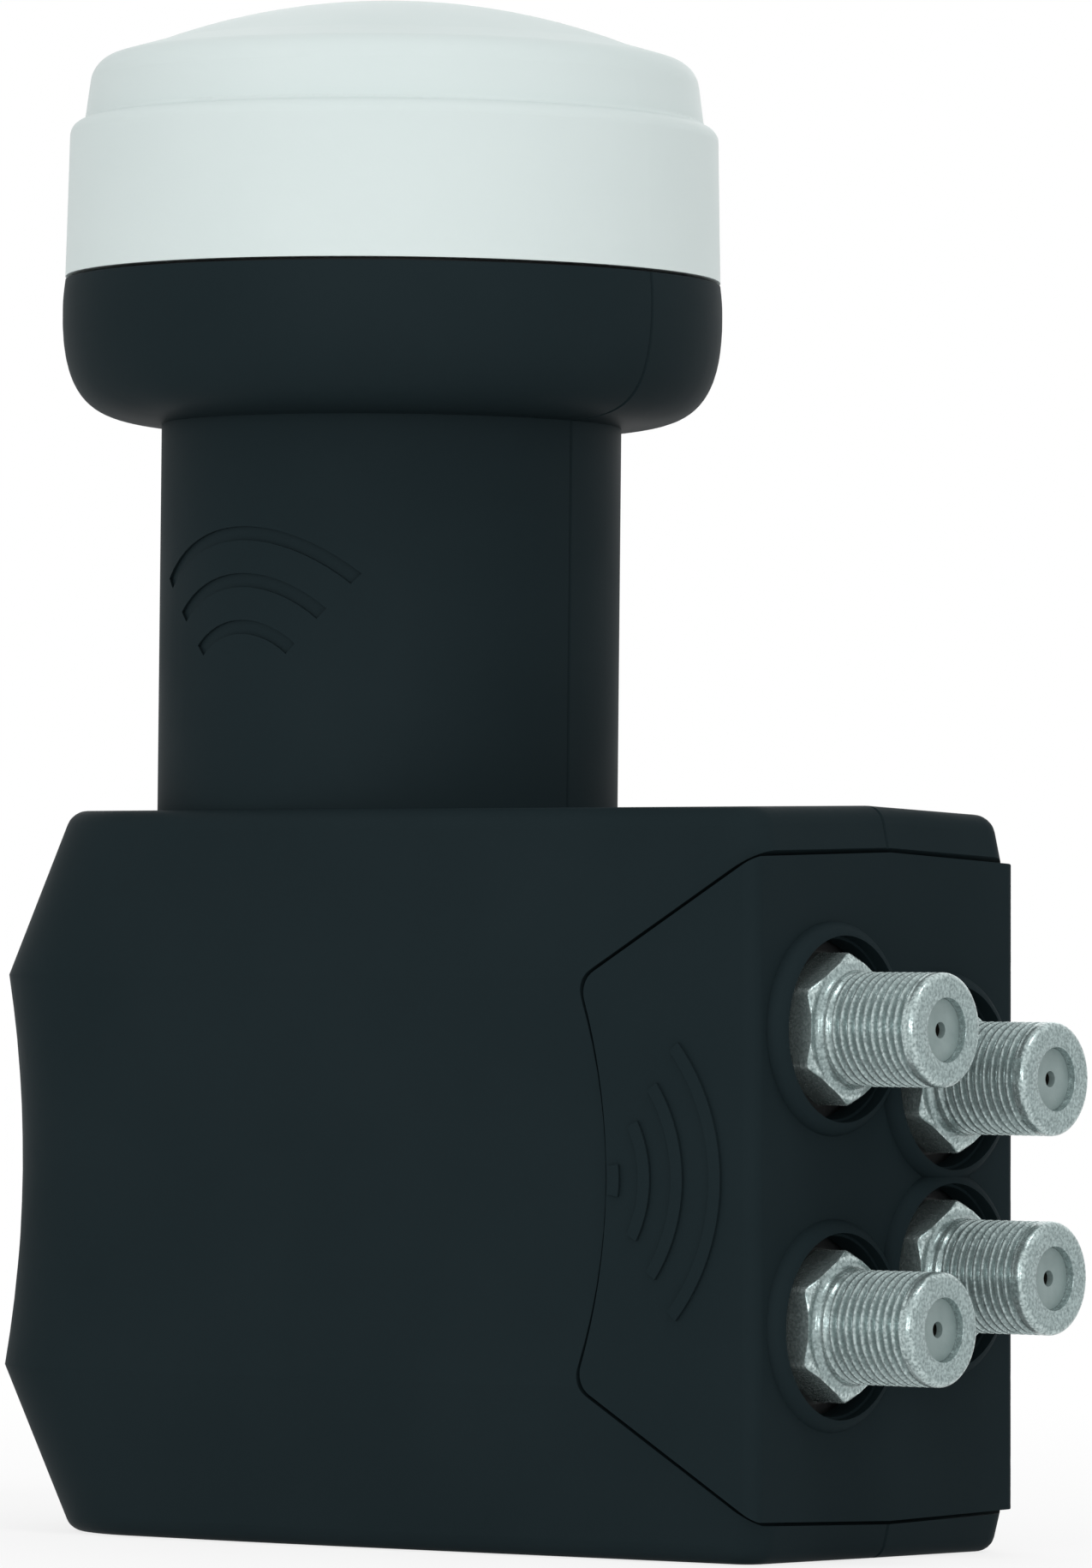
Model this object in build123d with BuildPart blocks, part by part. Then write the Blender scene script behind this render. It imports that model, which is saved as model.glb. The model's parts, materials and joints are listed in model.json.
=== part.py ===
from build123d import *
import math
import os

os.makedirs("parts", exist_ok=True)

# A satellite low-noise block converter with four sockets, standing on its flat base.
# The origin is the middle of the round clamp neck, +Z runs up the feed axis,
# and the four sockets point along +X.

# Clamp neck
neck_radius = 20.0
neck_half_length = 16.6
neck_wall = 2.4

# Feed collar above the neck
collar_radius = 28.7
collar_wall = 2.0
collar_shoulder = (25.9, 1.4)
collar_widest_rise = 9.6
collar_rise = 12.45
collar_rim_radius = 28.5

# Electronics box, as the clamshell's outside
box_height = 62.8
box_wall = 2.0
top_zone = 14.7
bottom_zone = 14.2
closed_end = 31.0
top_slant = 6.8
bottom_slant = 7.3
end_scoop = 1.5
side_lean = 0.7
side_scoop = 0.35
mouth_x = 54.4
side_build_up = 7.5
side_taper = 5.2
bow_length = 38.4
bow_radius = 220.0
closed_corner = 13.5
end_crown = 0.3
top_draft = 1.5
top_edge_round = 1.9
bottom_edge_round = 1.6
parting_chamfer = 0.2
mouth_corner_round = 3.0
lip_set_back = 0.15
top_lip_lean = 0.23
bottom_lip_lean = 0.25

# Sliding weather cover over the sockets
cover_travel = 20.0
cover_wall = 1.8
cover_panel_wall = 1.6
cover_lean = 0.7
seam_gap = 0.3
seam_top = 3.68
seam_bottom = 3.03
seam_reach = 17.95
seam_bow = 3.0
seam_corner_round = 2.5
seam_draft = 1.3
cover_corner_round = 1.3
socket_hole_radius = 7.5
socket_rim_width = 1.4
socket_rim_height = 1.0
socket_rim_round = 0.25
skirt_thickness = 1.2
skirt_half_height = 14.0
skirt_back_x = 12.0
hook_length = 1.5
hook_depth = 0.8
slide_gap = 0.3
skirt_clearance = 0.4
rail_thickness = 1.5
grip_rib_width = 1.1
grip_rib_height = 0.3

# Die-cast chassis with the waveguide and the feed horn
waveguide_radius = 8.8
waveguide_wall = 2.0
backshort_length = 9.0
chassis_wall = 2.0
chassis_ledge = 1.2
chassis_end_wall = 3.0
chassis_closed_x = -22.0
component_room = 2.6
chassis_top_gap = 1.9
chassis_bottom_gap = 4.4
chassis_corner = 3.0
web_thickness = 2.4
horn_wall = 1.4
horn_outer_wall = 2.4
horn_ring_pitch = 3.6
horn_ring_count = 2
horn_floor_z = 24.6
horn_floor_thickness = 2.4
horn_floor_chamfer = 2.0
horn_mouth_z = 44.0
horn_mouth_radius = 12.6
horn_ring_step = 1.6
horn_outer_top_z = 36.6
locating_gap = 0.2

# Feed cap
cap_skirt_radius = 28.5
cap_skirt_draft = 0.3
cap_skirt_wall = 1.9
cap_wall = 1.4
cap_step_z = 42.6
cap_step_radius = 26.95
cap_step_slope = 0.3
cap_shoulder_z = 48.1
cap_shoulder_draft = 0.7
cap_dome_radius = 21.0
cap_dome_z = 49.6
cap_top_z = 53.5
snap_bead = 0.5
snap_z = 34.2
seal_thickness = 1.4
seal_z = 31.2

# Circuit boards, lids and screws
board_thickness = 0.8
board_gap = 0.3
gasket_thickness = 0.4
lid_thickness = 1.0
boss_radius = 2.6
lid_screw_radius = 1.0
lid_screw_length = 8.0
lid_screw_head_radius = 1.9
board_screw_radius = 0.9
board_screw_head_radius = 1.6
board_screw_head_height = 1.0
board_screw_length = 5.0
board_post_radius = 2.4
board_post_gap = 2.0
board_screw_inset = 12.0
board_screw_drop = 14.0
screw_clearance = 0.1
lid_wall_offset = 8.0

# Threaded sockets
socket_half_spacing = 7.75
socket_rise = 0.4
near_pair_half_height = 12.3
far_pair_half_height = 8.3
socket_hex = 11.1
socket_hex_height = 3.4
socket_hex_face_radius = 5.0
socket_hex_chamfer = 0.8
socket_thread_radius = 4.76
socket_reach = 11.8
socket_bore_radius = 2.65
socket_recess = 0.7
socket_spigot_radius = 4.2
socket_washer_radius = 6.5
socket_washer_thickness = 1.0
tip_chamfer = 0.6
fitting_gap = 0.02
insulator_lip = 0.6
contact_set_back = 0.1
contact_radius = 1.2
contact_bore_radius = 0.5
pin_hole_radius = 0.68
tail_radius = 0.4
tail_bend = 1.2
tail_length = 3.4
pin_stand_off = 0.6

# Probes inside the waveguide
probe_radius = 0.55
sleeve_radius = 1.5
probe_reach = 4.2
upper_probe_rise = 5.25
lower_probe_drop = 3.75

# Chips on each board: distance from the socket wall, height from its middle, width and height
chip_places = [(22.0, 7.0, 7.0, 7.0), (22.0, -8.0, 5.0, 9.0), (8.0, 0.0, 3.0, 8.0)]
chip_thickness = 0.9

# Signal arcs on the neck, and grip ribs on the cover's panels
arc_radii = [7.5, 11.5, 15.5]
arc_centre_z = -9.0
arc_spread = 42.0
arc_width = 1.2
arc_depth = 0.3
panel_web_length = 9.0
panel_web_thickness = 1.2
grip_arcs = [(13.5, 0.1, 1.25), (11.6, 1.2, 4.7), (9.7, 2.5, 7.8), (7.6, 4.1, 11.1)]

# Places worked out from the sizes above
top_z = -neck_half_length
bottom_z = top_z - box_height
crease_top_z = top_z - top_zone
crease_bottom_z = bottom_z + bottom_zone
crease_middle_z = (crease_top_z + crease_bottom_z) / 2
box_middle_z = (top_z + bottom_z) / 2
stop_x = skirt_back_x + hook_length + cover_travel + slide_gap
rail_length = stop_x + rail_thickness - skirt_back_x
tube_radius = waveguide_radius + waveguide_wall
mouth_half_width = tube_radius + side_build_up
chassis_half_depth = tube_radius + component_room
lower_probe_x = tube_radius + sleeve_radius + tail_bend
bow_start_x = mouth_x - bow_length
slope = math.radians(side_taper)
collar_bottom_z = neck_half_length
collar_top_z = neck_half_length + collar_rise
cap_bottom_z = collar_top_z + seam_gap
cap_bore_radius = cap_skirt_radius - cap_skirt_wall
horn_outer_radius = min(collar_radius - collar_wall, cap_bore_radius) - slide_gap
chassis_end_x = mouth_x - cover_wall - 2 * slide_gap
chassis_inner_x = chassis_end_x - chassis_end_wall
chassis_top_z = top_z - box_wall - chassis_top_gap
chassis_bottom_z = bottom_z + box_wall + chassis_bottom_gap
chassis_middle_x = (chassis_closed_x + chassis_end_x) / 2
chassis_middle_z = (chassis_top_z + chassis_bottom_z) / 2
chassis_length = chassis_end_x - chassis_closed_x
chassis_height = chassis_top_z - chassis_bottom_z
upper_probe_z = chassis_middle_z + upper_probe_rise
lower_probe_z = chassis_middle_z - lower_probe_drop
waveguide_floor_z = lower_probe_z - backshort_length
board_seat = tube_radius
lid_inner = chassis_half_depth + gasket_thickness
lid_outer = lid_inner + lid_thickness
skirt_inner = lid_outer + skirt_clearance
skirt_outer = skirt_inner + skirt_thickness
pin_end = board_seat + board_thickness + pin_stand_off
tail_x = chassis_inner_x - tail_length
hex_back_x = chassis_end_x + socket_washer_thickness
hex_front_x = hex_back_x + socket_hex_height
socket_tip_x = mouth_x + socket_reach
insulator_front_x = socket_tip_x - socket_recess
insulator_back_x = chassis_inner_x + 2 * contact_set_back
rib_places = [
    chassis_closed_x + 2 * chassis_corner,
    bow_start_x + rail_thickness,
    bow_start_x + rail_thickness + cover_travel,
]
middle_of_sockets_z = box_middle_z + socket_rise
sockets = [
    ("upper_front", -socket_half_spacing, middle_of_sockets_z + near_pair_half_height),
    ("lower_front", -socket_half_spacing, middle_of_sockets_z - near_pair_half_height),
    ("upper_rear", socket_half_spacing, middle_of_sockets_z + far_pair_half_height),
    ("lower_rear", socket_half_spacing, middle_of_sockets_z - far_pair_half_height),
]


def side_half(x):
    """Half the box's width where its tapering side passes x."""
    return mouth_half_width + math.tan(slope) * (mouth_x - x)


def box_level(z, inset, closed_x, end_x, lean):
    """Rear half of the box's plan at one height, drawn in from its outside by inset."""
    radius = closed_corner - inset
    end_corner = (end_x - end_crown, side_half(end_x - end_crown) - lean - inset)
    bow_start = (bow_start_x, side_half(bow_start_x) - lean - inset)
    bow_end = (
        bow_start_x - bow_radius * math.sin(slope),
        bow_start[1] + bow_radius * (1 - math.cos(slope)),
    )
    round_start = (closed_x + radius, bow_end[1])
    round_end = (closed_x, bow_end[1] - radius)
    with BuildSketch(Plane.XY.offset(z)) as level:
        with BuildLine():
            Line((end_x, 0), end_corner)
            Line(end_corner, bow_start)
            TangentArc(bow_start, bow_end, tangent=(-math.cos(slope), math.sin(slope)))
            Line(bow_end, round_start)
            TangentArc(round_start, round_end, tangent=(-1, 0))
            Polyline(round_end, (closed_x, 0), (end_x, 0))
        make_face()
    return level.sketch


def zone_level(z, inset, end_x=None):
    """Plan at a height: straight slants above and below the creases, a scoop between."""
    lip_x = mouth_x - lip_set_back
    if z >= crease_top_z:
        share = (z - crease_top_z) / top_zone
        slant, lean = top_slant * share, side_lean * share
        lip_x -= top_lip_lean * (z - (top_z - seam_top))
    elif z <= crease_bottom_z:
        share = (crease_bottom_z - z) / bottom_zone
        slant, lean = bottom_slant * share, side_lean * share
        lip_x += cover_lean + bottom_lip_lean * (z - (bottom_z + seam_bottom))
    else:
        slant, lean = end_scoop, side_scoop
        lip_x += top_lip_lean * top_zone
    return box_level(z, inset, slant + inset - closed_end, end_x or lip_x, lean)


def add_half_box(inset, end_x=None):
    """Loft the rear half of the box through its levels."""
    upper = zone_level(crease_top_z, inset, end_x)
    middle = zone_level(crease_middle_z, inset, end_x)
    lower = zone_level(crease_bottom_z, inset, end_x)
    loft([zone_level(top_z - inset, inset, end_x), upper], ruled=True)
    loft([upper, middle, lower])
    loft([lower, zone_level(bottom_z + inset, inset, end_x)], ruled=True)


def level_edges(part, z, reach):
    """Edges of the rear half's rim near one height, without those on the parting plane."""
    return [
        edge
        for edge in part.edges()
        if abs(edge.center().Z - z) < reach
        and abs((edge @ 0).Z - (edge @ 1).Z) < reach
        and max((edge @ 0).Y, (edge @ 1).Y) > reach
    ]


def cover_outline(grow):
    """Hexagon-like outline of the cover seen from the front, at the parting plane."""
    top = top_z - seam_top
    bottom = bottom_z + seam_bottom
    back_x = mouth_x - seam_reach
    far_x = mouth_x + cover_wall * 3
    with BuildSketch(Plane.XZ) as outline:
        with BuildLine():
            Polyline((back_x, crease_top_z), (mouth_x - grow, top), (far_x, top))
            Line((far_x, top), (far_x, bottom))
            Polyline((far_x, bottom), (mouth_x - grow, bottom), (back_x, crease_bottom_z))
            ThreePointArc(
                (back_x, crease_bottom_z),
                (back_x + seam_bow, crease_middle_z),
                (back_x, crease_top_z),
            )
        make_face()
        offset(amount=grow, kind=Kind.INTERSECTION)
        fillet(outline.vertices().sort_by(Axis.X)[:2], seam_corner_round)
    return outline.sketch


def cover_level(z, lean):
    """Plan of the cover's outside at one height, its end face leaning out by lean."""
    end_x = mouth_x + lean
    side_x = end_x - end_crown
    with BuildSketch(Plane.XY.offset(z)) as level:
        with BuildLine():
            Polyline(
                (end_x, 0),
                (side_x, side_half(side_x)),
                (bow_start_x, side_half(bow_start_x)),
                (bow_start_x, -side_half(bow_start_x)),
                (side_x, -side_half(side_x)),
                close=True,
            )
        make_face()
    return level.sketch


def chassis_outline():
    """Rounded rectangle of the chassis seen from the front."""
    with BuildSketch(Plane.XZ) as outline:
        with Locations((chassis_middle_x, chassis_middle_z)):
            RectangleRounded(chassis_length, chassis_height, chassis_corner)
    return outline.sketch


def lid_screw_places():
    """Lid screws in the four corners and at the middle of the long sides, as x and z."""
    inset = boss_radius + screw_clearance
    left = chassis_closed_x + inset + chassis_wall / 2
    right = chassis_inner_x - inset + chassis_wall / 2
    high = chassis_top_z - inset - chassis_wall / 2
    low = chassis_bottom_z + inset + chassis_wall / 2
    middle = (left + right) / 2 + tube_radius / 2
    return [(x, z) for x in (left, middle, right) for z in (high, low)]


def board_screw_places():
    """Board screws beside the waveguide and near the sockets, as x and z."""
    near = tube_radius + board_post_radius + board_post_gap
    far = chassis_inner_x - board_screw_inset
    rise = chassis_height / 2 - board_screw_drop
    return [(x, chassis_middle_z + dz) for x in (near, far) for dz in (rise, -rise)]


# Housing shell: the rear half of the clamshell, shared by both halves
with BuildPart() as housing_shell:
    add_half_box(0)
    with BuildSketch(Plane.YZ):
        with BuildLine():
            Polyline(
                (0, top_z),
                (2 * neck_radius, top_z),
                (2 * neck_radius, top_z - 2 * neck_radius * math.tan(math.radians(top_draft))),
                close=True,
            )
        make_face()
    extrude(amount=2 * mouth_x, both=True, mode=Mode.SUBTRACT)
    mouth_edges = [
        edge
        for edge in housing_shell.edges()
        if edge.center().X > bow_start_x
        and edge.center().Y > mouth_half_width / 2
        and abs((edge @ 0).Z - (edge @ 1).Z) > bottom_zone / 2
    ]
    fillet(mouth_edges, mouth_corner_round)
    fillet(level_edges(housing_shell, top_z, 1.2), top_edge_round)
    fillet(level_edges(housing_shell, bottom_z, 0.8), bottom_edge_round)
    chamfer(
        [
            edge
            for edge in housing_shell.edges()
            if max(abs((edge @ share).Y) for share in (0, 0.5, 1)) < parting_chamfer / 10
            and edge.center().X < mouth_x - seam_reach
        ],
        parting_chamfer,
    )

with BuildPart() as housing_cavity:
    add_half_box(box_wall, mouth_x - cover_wall - slide_gap)

with BuildPart() as neck_and_collar:
    with BuildSketch(Plane.XZ):
        with BuildLine():
            widest_z = collar_bottom_z + collar_widest_rise
            Line((neck_radius, top_z - box_wall), (neck_radius, collar_bottom_z))
            Spline(
                (neck_radius, collar_bottom_z),
                (collar_shoulder[0], collar_bottom_z + collar_shoulder[1]),
                (collar_radius, widest_z),
                tangents=[(1, 0.05), (0, 1)],
            )
            TangentArc((collar_radius, widest_z), (collar_rim_radius, collar_top_z), tangent=(0, 1))
            Line((collar_rim_radius, collar_top_z), (collar_radius - collar_wall, collar_top_z))
            Line(
                (collar_radius - collar_wall, collar_top_z),
                (collar_radius - collar_wall, widest_z - collar_wall),
            )
            TangentArc(
                (collar_radius - collar_wall, widest_z - collar_wall),
                (collar_shoulder[0] - collar_wall, collar_bottom_z + collar_wall + collar_shoulder[1]),
                tangent=(0, -1),
            )
            Polyline(
                (collar_shoulder[0] - collar_wall, collar_bottom_z + collar_wall + collar_shoulder[1]),
                (neck_radius - neck_wall, collar_bottom_z + collar_wall),
                (neck_radius - neck_wall, top_z - box_wall),
                (neck_radius, top_z - box_wall),
            )
        make_face()
    revolve(axis=Axis.Z, revolution_arc=180)
    chamfer(
        [
            edge
            for edge in neck_and_collar.edges()
            if max(abs((edge @ share).Y) for share in (0, 0.5, 1)) < parting_chamfer / 10
            and min(abs((edge @ share).X) for share in (0, 0.5, 1)) > neck_radius - parting_chamfer
            and edge.center().Z < widest_z + collar_wall
            and abs(edge.center().X) < collar_radius - parting_chamfer
            or abs(abs(edge.center().X) - neck_radius) < parting_chamfer / 10
            and abs(edge.center().Y) < parting_chamfer / 10
        ],
        parting_chamfer,
    )

with BuildPart() as rear_housing_half:
    add(housing_shell.part)
    add(housing_cavity.part, mode=Mode.SUBTRACT)
    with BuildSketch(Plane.XY.offset(top_z)):
        Circle(neck_radius - neck_wall)
    extrude(amount=2 * box_wall, both=True, mode=Mode.SUBTRACT)
    add(neck_and_collar.part)
    # Half rings inside the neck hold the waveguide tube
    for ring_z in (-2 * neck_half_length / 3, 0, 2 * neck_half_length / 3):
        with BuildSketch(Plane.XY.offset(ring_z)):
            with BuildLine():
                CenterArc((0, 0), neck_radius - neck_wall / 2, 0, 180)
                Line((-neck_radius + neck_wall / 2, 0), (-tube_radius - locating_gap, 0))
                CenterArc((0, 0), tube_radius + locating_gap, 180, -180)
                Line((tube_radius + locating_gap, 0), (neck_radius - neck_wall / 2, 0))
            make_face()
        extrude(amount=rail_thickness / 2, both=True)
    # Ribs above and below the chassis hold it between the two halves
    for rib_x in rib_places:
        with BuildSketch(Plane.XZ):
            with Locations((rib_x, chassis_top_z + locating_gap)):
                Rectangle(
                    rail_thickness,
                    chassis_top_gap + box_wall / 2 - locating_gap,
                    align=(Align.CENTER, Align.MIN),
                )
            with Locations((rib_x, chassis_bottom_z - locating_gap)):
                Rectangle(
                    rail_thickness,
                    chassis_bottom_gap + box_wall / 2 - locating_gap,
                    align=(Align.CENTER, Align.MAX),
                )
        extrude(amount=-(mouth_half_width - box_wall / 2))
    # Rails above and below the cover's skirt, and a post that stops its hook
    for side in (-1, 1):
        rail_z = box_middle_z + side * (skirt_half_height + slide_gap + rail_thickness / 2)
        with BuildSketch(Plane.XZ.offset(-skirt_inner)):
            with Locations((skirt_back_x, rail_z)):
                Rectangle(rail_length, rail_thickness, align=(Align.MIN, Align.CENTER))
        extrude(amount=-(side_half(stop_x) - skirt_inner - box_wall / 2))
    with BuildSketch(Plane.XZ.offset(-(skirt_outer + slide_gap))):
        with Locations((stop_x, box_middle_z)):
            Rectangle(rail_thickness, 2 * skirt_half_height, align=(Align.MIN, Align.CENTER))
    extrude(amount=-(side_half(stop_x) - side_scoop - box_wall / 2 - skirt_outer - slide_gap))
    extrude(
        cover_outline(seam_gap / 2),
        amount=-2 * mouth_half_width,
        taper=seam_draft,
        mode=Mode.SUBTRACT,
    )
rear_housing_half.part.label = "rear_housing_half"
export_step(rear_housing_half.part, "parts/rear_housing_half.step")

# Front half of the clamshell, with plain signal arcs sunk into the neck
with BuildPart() as neck_arcs:
    with BuildSketch(Plane.XZ):
        for arc_radius in arc_radii:
            with BuildLine() as arc_line:
                CenterArc((0, arc_centre_z), arc_radius, 90 - arc_spread, 2 * arc_spread)
            trace(arc_line.edges(), line_width=arc_width)
    extrude(amount=2 * neck_radius)
    with BuildSketch(Plane.XY.offset(-neck_half_length)):
        Circle(2 * neck_radius)
        Circle(neck_radius - arc_depth, mode=Mode.SUBTRACT)
    extrude(amount=2 * neck_half_length, mode=Mode.INTERSECT)

with BuildPart() as front_housing_half:
    mirror(rear_housing_half.part, about=Plane.XZ)
    add(neck_arcs.part, mode=Mode.SUBTRACT)
front_housing_half.part.label = "front_housing_half"
export_step(front_housing_half.part, "parts/front_housing_half.step")

# Sliding cover: an end wall round the sockets, two side panels and two hooked skirts
with BuildPart() as connector_cover:
    loft([cover_level(top_z, 0), cover_level(bottom_z, cover_lean)], ruled=True)
    fillet(
        [
            edge
            for edge in connector_cover.edges()
            if edge.center().X > mouth_x - 2 * end_crown
            and abs(edge.center().Y) > mouth_half_width / 2
            and abs((edge @ 0).Z - (edge @ 1).Z) > box_height / 2
        ],
        cover_corner_round,
    )
    extrude(
        cover_outline(-seam_gap / 2),
        amount=2 * mouth_half_width,
        both=True,
        taper=seam_draft,
        mode=Mode.INTERSECT,
    )
    # Hollow behind the end wall and between the panels
    inner_x = mouth_x - cover_wall
    with BuildSketch(Plane.XY.offset(top_z)):
        with BuildLine():
            Polyline(
                (inner_x, side_half(inner_x) - cover_panel_wall),
                (bow_start_x, side_half(bow_start_x) - cover_panel_wall),
                (bow_start_x, -side_half(bow_start_x) + cover_panel_wall),
                (inner_x, -side_half(inner_x) + cover_panel_wall),
                close=True,
            )
        make_face()
    extrude(amount=-box_height, mode=Mode.SUBTRACT)
    for side in (-1, 1):
        # Skirt that guides the cover inside the housing
        with BuildSketch(Plane.XZ.offset(side * skirt_inner)):
            with Locations((skirt_back_x, box_middle_z)):
                Rectangle(
                    mouth_x - cover_wall / 2 - skirt_back_x,
                    2 * skirt_half_height,
                    align=(Align.MIN, Align.CENTER),
                )
        extrude(amount=side * skirt_thickness)
        with BuildSketch(Plane.XZ.offset(side * skirt_inner)):
            with Locations((skirt_back_x, box_middle_z)):
                Rectangle(
                    hook_length, 2 * skirt_half_height, align=(Align.MIN, Align.CENTER)
                )
        extrude(amount=side * (skirt_thickness + hook_depth))
        # Webs that tie the skirt to the panel outside it
        for web_z in (box_middle_z - skirt_half_height / 2, box_middle_z + skirt_half_height / 2):
            with BuildSketch(Plane.XZ.offset(side * skirt_inner)):
                with Locations((mouth_x - cover_wall / 2, web_z)):
                    Rectangle(
                        panel_web_length, panel_web_thickness, align=(Align.MAX, Align.CENTER)
                    )
            extrude(
                amount=side * (side_half(mouth_x) - cover_panel_wall / 2 - skirt_inner)
            )
    # Socket holes, each in a raised lip that slopes up to its rounded mouth
    for _, y, z in sockets:
        with BuildSketch(Plane(origin=(0, y, z), x_dir=(1, 0, 0), z_dir=(0, -1, 0))):
            with BuildLine():
                lip_base_x = mouth_x - cover_wall / 2
                lip_top_x = mouth_x + cover_lean / 2 + socket_rim_height
                lip_radius = socket_hole_radius + socket_rim_round
                base_radius = socket_hole_radius + socket_rim_width
                Polyline(
                    (lip_base_x, lip_radius),
                    (lip_base_x, base_radius),
                    (mouth_x, base_radius),
                )
                TangentArc((mouth_x, base_radius), (lip_top_x, lip_radius), tangent=(1, 0))
                Line((lip_top_x, lip_radius), (lip_base_x, lip_radius))
            make_face()
        revolve(axis=Axis((0, y, z), (1, 0, 0)))
    for _, y, z in sockets:
        with BuildSketch(Plane(origin=(0, y, z), x_dir=(1, 0, 0), z_dir=(0, -1, 0))):
            with BuildLine():
                Polyline(
                    (inner_x - cover_wall, 0),
                    (inner_x - cover_wall, socket_hole_radius),
                    (lip_top_x - socket_rim_round, socket_hole_radius),
                    (lip_top_x, lip_radius),
                    (lip_top_x + cover_wall, lip_radius),
                    (lip_top_x + cover_wall, 0),
                    close=True,
                )
            make_face()
        revolve(axis=Axis((0, y, z), (1, 0, 0)), mode=Mode.SUBTRACT)
    # Grip ribs on both side panels: a short bar and three nested arcs
    for side in (-1, 1):
        panel = Plane(
            origin=(bow_start_x, side * side_half(bow_start_x), box_middle_z),
            x_dir=(math.cos(slope), -side * math.sin(slope), 0),
            z_dir=(math.sin(slope), side * math.cos(slope), 0),
        )
        with BuildSketch(panel):
            for run, bow, rise in grip_arcs:
                start_x = mouth_x - run - bow_start_x
                with BuildLine() as rib_line:
                    ThreePointArc((start_x, -rise), (start_x + bow, 0), (start_x, rise))
                trace(rib_line.edges(), line_width=grip_rib_width)
        extrude(amount=grip_rib_height)
connector_cover.part.label = "connector_cover"
export_step(connector_cover.part, "parts/connector_cover.step")

# Chassis: one casting of tray walls, web, waveguide tube and corrugated feed horn
with BuildPart() as chassis:
    extrude(chassis_outline(), amount=chassis_half_depth, both=True)
    for side in (-1, 1):
        # Deep tray down to the web, with a ledge that carries the board
        for depth, wall in ((chassis_half_depth - board_seat, 0), (0, chassis_ledge)):
            floor = board_seat if wall == 0 else web_thickness / 2
            left = chassis_closed_x + chassis_wall + wall
            right = chassis_inner_x - wall
            high = chassis_top_z - chassis_wall - wall
            low = chassis_bottom_z + chassis_wall + wall
            with BuildSketch(Plane.XZ.offset(side * floor)):
                with Locations(((left + right) / 2, (high + low) / 2)):
                    Rectangle(right - left, high - low)
            extrude(amount=side * chassis_half_depth, mode=Mode.SUBTRACT)
        with BuildSketch(Plane.XZ):
            with Locations(lid_screw_places()):
                Circle(boss_radius)
        extrude(amount=side * chassis_half_depth)
        with BuildSketch(Plane.XZ):
            with Locations(board_screw_places()):
                Circle(board_post_radius)
        extrude(amount=side * board_seat)
    # Waveguide tube and horn floor
    with BuildSketch(Plane.XY.offset(waveguide_floor_z - waveguide_wall)):
        Circle(tube_radius)
    extrude(amount=horn_floor_z - waveguide_floor_z + waveguide_wall)
    with BuildSketch(Plane.XZ):
        with BuildLine():
            rim_radius = horn_outer_radius - horn_outer_wall
            Polyline(
                (0, horn_floor_z - horn_floor_thickness),
                (horn_outer_radius - horn_floor_chamfer, horn_floor_z - horn_floor_thickness),
                (horn_outer_radius, horn_floor_z - horn_floor_thickness + horn_floor_chamfer),
                (horn_outer_radius, horn_outer_top_z),
                (rim_radius, horn_outer_top_z),
                (rim_radius, horn_floor_z),
                (0, horn_floor_z),
                close=True,
            )
        make_face()
        # Throat wall that flares up to the horn's mouth
        with BuildLine():
            Polyline(
                (waveguide_radius - horn_wall / 2, horn_floor_z - horn_wall),
                (waveguide_radius + horn_wall, horn_floor_z - horn_wall),
                (horn_mouth_radius + horn_wall, horn_mouth_z),
                (horn_mouth_radius, horn_mouth_z),
                close=True,
            )
        make_face()
        # Corrugation rings, each lower than the one inside it
        for index in range(1, horn_ring_count + 1):
            ring_top = horn_mouth_z - index * horn_ring_step
            ring_inner = horn_mouth_radius + horn_wall + index * horn_ring_pitch - horn_wall
            with Locations((ring_inner, horn_floor_z - horn_wall)):
                Rectangle(
                    horn_wall, ring_top - horn_floor_z + horn_wall, align=(Align.MIN, Align.MIN)
                )
        # Grooves for the seal and the cap's snap bead
        with Locations((horn_outer_radius, seal_z)):
            Rectangle(2 * seal_thickness, seal_thickness + seam_gap, mode=Mode.SUBTRACT)
        with Locations((horn_outer_radius, snap_z)):
            Rectangle(4 * snap_bead, 4 * snap_bead, mode=Mode.SUBTRACT)
    revolve(axis=Axis.Z)
    # Waveguide bore, opening into the flare
    with BuildSketch(Plane.XZ):
        with BuildLine():
            Polyline(
                (0, waveguide_floor_z),
                (waveguide_radius, waveguide_floor_z),
                (waveguide_radius, horn_floor_z),
                (horn_mouth_radius, horn_mouth_z),
                (0, horn_mouth_z),
                close=True,
            )
        make_face()
    revolve(axis=Axis.Z, mode=Mode.SUBTRACT)
    # Socket holes in the end wall
    with BuildSketch(Plane.YZ.offset(chassis_end_x)):
        with Locations([(y, z) for _, y, z in sockets]):
            Circle(socket_spigot_radius + fitting_gap)
    extrude(amount=-(chassis_end_wall + 2 * chassis_ledge), mode=Mode.SUBTRACT)
    # Probe holes: one from the front, one from the socket side
    with BuildSketch(Plane.XZ):
        with Locations((0, upper_probe_z)):
            Circle(sleeve_radius + fitting_gap)
    extrude(amount=2 * tube_radius, mode=Mode.SUBTRACT)
    with BuildSketch(Plane.YZ):
        with Locations((0, lower_probe_z)):
            Circle(sleeve_radius + fitting_gap)
    extrude(amount=tube_radius + 2 * sleeve_radius + tail_bend, mode=Mode.SUBTRACT)
    # Screw holes
    for side in (-1, 1):
        with BuildSketch(Plane.XZ.offset(side * chassis_half_depth)):
            with Locations(lid_screw_places()):
                Circle(lid_screw_radius + fitting_gap)
        extrude(amount=-side * lid_screw_length, mode=Mode.SUBTRACT)
        with BuildSketch(Plane.XZ.offset(side * board_seat)):
            with Locations(board_screw_places()):
                Circle(board_screw_radius + fitting_gap)
        extrude(amount=-side * board_screw_length, mode=Mode.SUBTRACT)
chassis.part.label = "chassis"
export_step(chassis.part, "parts/chassis.step")

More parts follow.
